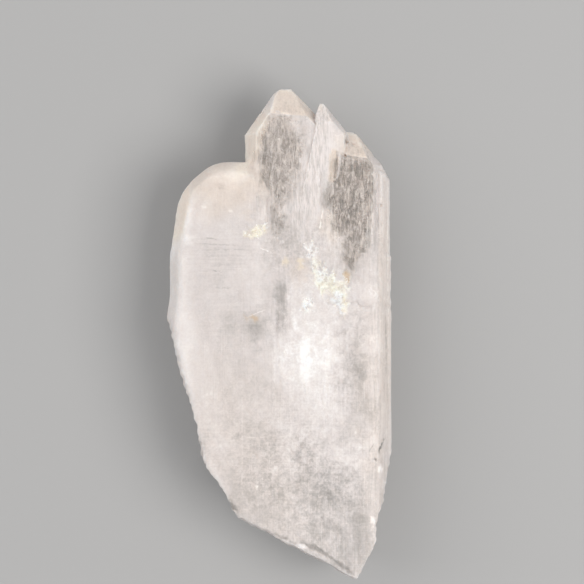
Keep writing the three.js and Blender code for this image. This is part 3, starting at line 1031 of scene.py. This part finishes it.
def finished(tree, geometry, material, result):
    """The end of every tree: instances become real faces, and they get their material."""
    real = wire(tree, "GeometryNodeRealizeInstances", {0: geometry}).outputs[0]
    smooth = wire(tree, "GeometryNodeSetShadeSmooth", {"Geometry": real}).outputs[0]
    painted = wire(tree, "GeometryNodeSetMaterial", {"Geometry": smooth, "Material": material}).outputs[0]
    tree.links.new(painted, result["Geometry"])


def grown(name, mesh, tree, sizes):
    """What a tree makes of a mesh with these sizes, as a piece of the crystal."""
    host = shown("host", mesh)
    modifier = host.modifiers.new("tree", "NODES")
    modifier.node_group = tree
    for socket in tree.interface.items_tree:
        if socket.name in sizes:
            modifier[socket.identifier] = sizes[socket.name]
    piece = shown(name, plain_mesh(host))
    print(name + ":", len(piece.data.polygons), "faces")
    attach(piece, "root")
    return piece


def position_mm(tree):
    return scaled(tree, wire(tree, "GeometryNodeInputPosition").outputs[0], 1 / MM)


def depth_mm(tree, geometry):
    """How deep a place lies below the surface in mm, and negative outside it."""
    position = wire(tree, "GeometryNodeInputPosition").outputs[0]
    near = wire(tree, "GeometryNodeProximity", {0: geometry}, target_element="FACES")
    upwards = {"Source Position": position, "Ray Direction": Vector((0, 0, 1)), "Ray Length": 1.0}
    ray = wire(tree, "GeometryNodeRaycast", {"Target Geometry": geometry, **upwards})
    hit_normal = wire(tree, "ShaderNodeSeparateXYZ", {0: ray.outputs["Hit Normal"]}).outputs["Z"]
    from_inside = calc(tree, "GREATER_THAN", hit_normal, 0.0)
    inside = times(tree, from_inside, ray.outputs["Is Hit"])
    sign = calc(tree, "MULTIPLY_ADD", inside, 2.0, -1.0)
    return times(tree, near.outputs["Distance"], 1 / MM, sign)


def oval_share(tree, here, centre, reach, softness=0.35):
    """1 inside an oval, 0 outside."""
    centred = vector_calc(tree, "SUBTRACT", here, Vector(centre))
    shares = vector_calc(tree, "DIVIDE", centred, Vector(reach))
    length = wire(tree, "ShaderNodeVectorMath", {0: shares}, operation="LENGTH").outputs["Value"]
    return ramp(tree, length, 1 - softness, 1 + softness, 1.0, 0.0)

# %% The cloud's rule
RETREATS = (  # centre, reach, and how far the cloud draws back there, in mm
    ((0, 40, 14), (8, 16, 40), 30),
    ((0.4, 27, 16), (4.6, 11, 8), 8),
    ((15, 31, 14), (6, 12, 40), 30),
    ((14.4, 18, 18), (3, 9, 7), 8),
    ((-9, 34, 18), (12, 6, 8), 5),
    ((8, -28, 20), (6, 9, 5), 3),
    ((-5.4, 1, 20), (4, 4, 4), 2),
    ((0, 50, 14), (12, 10, 30), 20),
)
CLOUD_SIZES = {"Margin": 0.7, "Waver": 0.9, "Cell": 0.5}  # mm
CLOUD_LUMP = 4  # mm
CLOUD_SHAKE = (6, 14, 6)  # mm, how far noise moves the retreats about
DENSITY_PER_CELL = 0.25
SURFACE_AT = 0.5  # the density at the cloud's surface


def build_cloud_tree(low, high, material):
    tree, given, result = geometry_tree("milk cloud", CLOUD_SIZES)
    here = position_mm(tree)
    wild, shake = wild_noise(tree, here, CLOUD_LUMP, 4)
    shaken_here = vector_calc(tree, "ADD", here, vector_calc(tree, "MULTIPLY", shake, Vector(CLOUD_SHAKE)))
    margin = calc(tree, "MULTIPLY_ADD", wild, given["Waver"], given["Margin"])
    for centre, reach, retreat in RETREATS:
        share = oval_share(tree, shaken_here, centre, reach)
        margin = calc(tree, "MULTIPLY_ADD", share, float(retreat), margin)
    inner = calc(tree, "SUBTRACT", depth_mm(tree, given["Geometry"]), margin)
    cells_in = calc(tree, "DIVIDE", inner, given["Cell"])
    density = calc(tree, "MULTIPLY_ADD", cells_in, DENSITY_PER_CELL, SURFACE_AT, clamp=True)
    box = wire(tree, "GeometryNodeVolumeCube", {"Density": density, "Min": low, "Max": high})
    for axis in range(3):
        count = calc(tree, "DIVIDE", (high[axis] - low[axis]) / MM, given["Cell"])
        connect(tree, box, {"Resolution " + "XYZ"[axis]: count})
    surface = wire(tree, "GeometryNodeVolumeToMesh", {"Volume": box.outputs[0], "Threshold": SURFACE_AT})
    finished(tree, surface.outputs[0], material, result)
    return tree

# %% The cloud's material
GREY_MILK = (0.74, 0.71, 0.68, 1)
WHITE_MILK = (0.92, 0.90, 0.88, 1)


def milk_material():
    material, tree = new_material("milk")
    clouds = cloudy(tree, 4, detail=6, roughness=0.6, stretch=(1, 0.6, 1), distortion=0.6)
    colour = mixed(tree, ramp(tree, clouds, 0.35, 0.7), GREY_MILK, WHITE_MILK)
    dull = {"Roughness": 0.8, "Specular IOR Level": 0.0}
    coat(tree, {"Base Color": colour, **dull, **glow((1.0, 0.94, 0.88), 1.5)})
    return material

# %% The cloud in the scene
low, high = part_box("quartz_crystal")
cloud_tree = build_cloud_tree(low - mm(1, 1, 1), high + mm(1, 1, 1), milk_material())
milk_cloud = grown("milk_cloud", merged_copy(solid), cloud_tree, CLOUD_SIZES)

# %% [markdown]
# ## Flecks in the windows
# Tiny white flecks and flat cracks float in the clear quartz. They are scattered through the windows at
# random, and those that would come too near the surface are left out. Each is a small ball that is stretched
# along the crystal.

# %% The flecks' tree
FLECK_REGIONS = (  # centre, reach in mm, and how many
    ((0.4, 36, 14.6), (4.2, 8, 3), 260),
    ((-0.4, 26, 15.6), (3, 6, 2.4), 120),
    ((15, 28, 13.6), (4.4, 8, 3), 300),
    ((14.6, 18, 14.6), (2.2, 4.5, 2.4), 90),
)
FLECK_SIZES = {"Smallest": 0.05, "Largest": 0.3, "Depth": 0.35, "Seed": 5}
MOSTLY_SMALL = 2.5  # the power that makes large random sizes rare


def random_vector(tree, low, high, seed):
    inputs = {0: Vector(low), 1: Vector(high), "Seed": seed}
    return wire(tree, "FunctionNodeRandomValue", inputs, data_type="FLOAT_VECTOR").outputs[0]


def random_size(tree, given):
    """A length between the smallest and the largest in metres, more often small."""
    share = wire(tree, "FunctionNodeRandomValue", {2: 0.0, 3: 1.0, "Seed": given["Seed"]}).outputs[1]
    share = calc(tree, "POWER", share, MOSTLY_SMALL)
    spread = calc(tree, "SUBTRACT", given["Largest"], given["Smallest"])
    return times(tree, calc(tree, "MULTIPLY_ADD", share, spread, given["Smallest"]), MM)


def strewn(tree, given, spots, shape, turn, instance):
    """A copy of a small mesh at every spot, turned, and scaled to its shape times a random size."""
    scale = scaled(tree, shape, random_size(tree, given))
    inputs = {"Points": spots, "Instance": instance, "Rotation": turn, "Scale": scale}
    return wire(tree, "GeometryNodeInstanceOnPoints", inputs).outputs[0]


def build_fleck_tree(material):
    tree, given, result = geometry_tree("flecks", FLECK_SIZES)
    cloud = wire(tree, "GeometryNodeJoinGeometry")
    for number, (centre, reach, count) in enumerate(FLECK_REGIONS):
        seed = calc(tree, "ADD", given["Seed"], float(number))
        spot = random_vector(tree, (-1, -1, -1), (1, 1, 1), seed)
        spot = vector_calc(tree, "MULTIPLY_ADD", spot, mm(*reach), mm(*centre))
        points_here = wire(tree, "GeometryNodePoints", {"Count": count, "Position": spot})
        tree.links.new(points_here.outputs[0], cloud.inputs[0])
    near = calc(tree, "LESS_THAN", depth_mm(tree, given["Geometry"]), given["Depth"])
    kept = wire(tree, "GeometryNodeDeleteGeometry", {0: cloud.outputs[0], "Selection": near}, domain="POINT")
    ball = wire(tree, "GeometryNodeMeshIcoSphere", {"Radius": 1.0, "Subdivisions": 2}).outputs[0]
    shape = random_vector(tree, (0.3, 0.8, 0.1), (0.8, 3.2, 0.8), given["Seed"])
    turn = random_vector(tree, (-0.4, -1.6, -0.35), (0.4, 1.6, 0.35), given["Seed"])
    finished(tree, strewn(tree, given, kept.outputs[0], shape, turn, ball), material, result)
    return tree

# %% The flecks in the scene
grown("flecks", merged_copy(solid), build_fleck_tree(milk_cloud.data.materials[0]), FLECK_SIZES)

# %% [markdown]
# ## Sugar grains on the bruise
# A blow crushed the quartz to grains like sugar. They lie on the skin wherever the bruise attribute is high,
# which also holds one small painted glint, and they are little cubes turned at random, since crushed quartz
# has flat broken faces that glint.

# %% The grains' tree
GRAIN_SIZES = {"Smallest": 0.08, "Largest": 0.26, "Per square mm": 8.0, "Seed": 3}


def build_grain_tree(material):
    tree, given, result = geometry_tree("sugar grains", GRAIN_SIZES)
    bruised = wire(tree, "GeometryNodeInputNamedAttribute", {"Name": "bruise_and_painted_glint"}).outputs[0]
    wild = wire(tree, "ShaderNodeTexNoise", {"Vector": position_mm(tree), "Scale": 1.1, "Detail": 4.0})
    patchy = ramp(tree, wild.outputs[0], 0.4, 0.55)
    density = times(tree, bruised, patchy, given["Per square mm"], 1 / MM**2)
    inputs = {"Mesh": given["Geometry"], "Density": density, "Seed": given["Seed"]}
    spots = wire(tree, "GeometryNodeDistributePointsOnFaces", inputs)
    cube = wire(tree, "GeometryNodeMeshCube", {"Size": Vector((1, 1, 1))}).outputs[0]
    turn = random_vector(tree, (0, 0, 0), (math.tau, math.tau, math.tau), given["Seed"])
    shape = random_vector(tree, (0.6, 0.6, 0.5), (1.2, 1.2, 1), given["Seed"])
    finished(tree, strewn(tree, given, spots.outputs[0], shape, turn, cube), material, result)
    return tree

# %% The grains' material
YELLOWED_SUGAR = (0.95, 0.87, 0.72, 1)


def sugar_material():
    material, tree = new_material("sugar")
    yellowed = ramp(tree, cloudy(tree, 1.6), 0.45, 0.65, 0.0, 0.7)
    colour = mixed(tree, yellowed, SUGAR, YELLOWED_SUGAR)
    glint = {"Roughness": 0.3, "IOR": IOR_QUARTZ}
    coat(tree, {"Base Color": colour, **glint, **glow((1.0, 0.95, 0.88), 0.4, weight=0.3)})
    return material

# %% The grains in the scene
sugar_grains = grown("sugar_grains", skin_mesh.copy(), build_grain_tree(sugar_material()), GRAIN_SIZES)
for polygon in sugar_grains.data.polygons:
    polygon.use_smooth = False

# %% [markdown]
# ## The studio
# A pale grey floor lets the milky quartz stand out. The key light comes from the right, high and soft, so
# that the shadow falls to the left. A wider and weaker light fills in the other side, and the world gives a
# little light from all round, as white walls would.

# %% Floor
FLOOR_REACH = 1.5  # m
FLOOR_GAP = 0.02  # mm below the crystal, so that the two flat faces don't flicker
FLOOR_COLOUR = (0.385, 0.38, 0.375, 1)

floor_material, floor_tree = new_material("pale floor")
coat(floor_tree, {"Base Color": FLOOR_COLOUR, "Roughness": 0.85, "Specular IOR Level": 0.2})
square = ((-1, -1), (1, -1), (1, 1), (-1, 1))
floor_corners = [(x * FLOOR_REACH, y * FLOOR_REACH, -FLOOR_GAP * MM) for x, y in square]
floor_mesh = bpy.data.meshes.new("floor")
floor_mesh.from_pydata(floor_corners, [], [(0, 1, 2, 3)])
floor_mesh.materials.append(floor_material)
shown("floor", floor_mesh)
print("floor:", 2 * FLOOR_REACH, "m wide")

# %% Lights
LIT_SPOT = (0, 0, 8)  # mm, in the middle of the crystal


def soft_light(name, from_mm, size, watts, colour):
    """A square soft light that looks at the crystal."""
    light = bpy.data.lights.new(name, "AREA")
    light.size = size
    light.energy = watts
    light.color = colour
    obj = shown(name, light)
    obj.location = mm(*from_mm)
    obj.rotation_euler = (obj.location - mm(*LIT_SPOT)).to_track_quat("Z", "Y").to_euler()
    print(name, "light:", watts, "W")


soft_light("key", (420, -120, 620), size=0.45, watts=3.9, colour=(1.0, 0.985, 0.965))
soft_light("fill", (-620, 420, 480), size=1.2, watts=5.0, colour=(1.0, 0.99, 0.975))

AIR_COLOUR = (0.95, 0.97, 1.0, 1)
AIR_STRENGTH = 0.58
air = bpy.data.worlds.new("studio air")
air.use_nodes = True
sky = air.node_tree.nodes["Background"].inputs
sky["Color"].default_value = AIR_COLOUR
sky["Strength"].default_value = AIR_STRENGTH
bpy.context.scene.world = air

# %% [markdown]
# ## The camera
# It looks straight down. Cameras look along their own -Z axis, so this one needs no turn.

# %% Camera
CAMERA_OVER = (2.66, 8.2)  # mm, the middle of the view
CAMERA_HEIGHT = 410  # mm
MIDDLE_HEIGHT = 10  # mm, of the crystal's side edges
SEEN_WIDTH = 119.7  # mm, at that height

lens = bpy.data.cameras.new("camera")
lens.angle = 2 * math.atan(SEEN_WIDTH / 2 / (CAMERA_HEIGHT - MIDDLE_HEIGHT))
camera = shown("camera", lens)
camera.location = mm(*CAMERA_OVER, CAMERA_HEIGHT)
bpy.context.scene.camera = camera
bpy.context.scene.view_settings.view_transform = "Standard"
print("the camera sees", round(math.degrees(lens.angle), 1), "degrees")
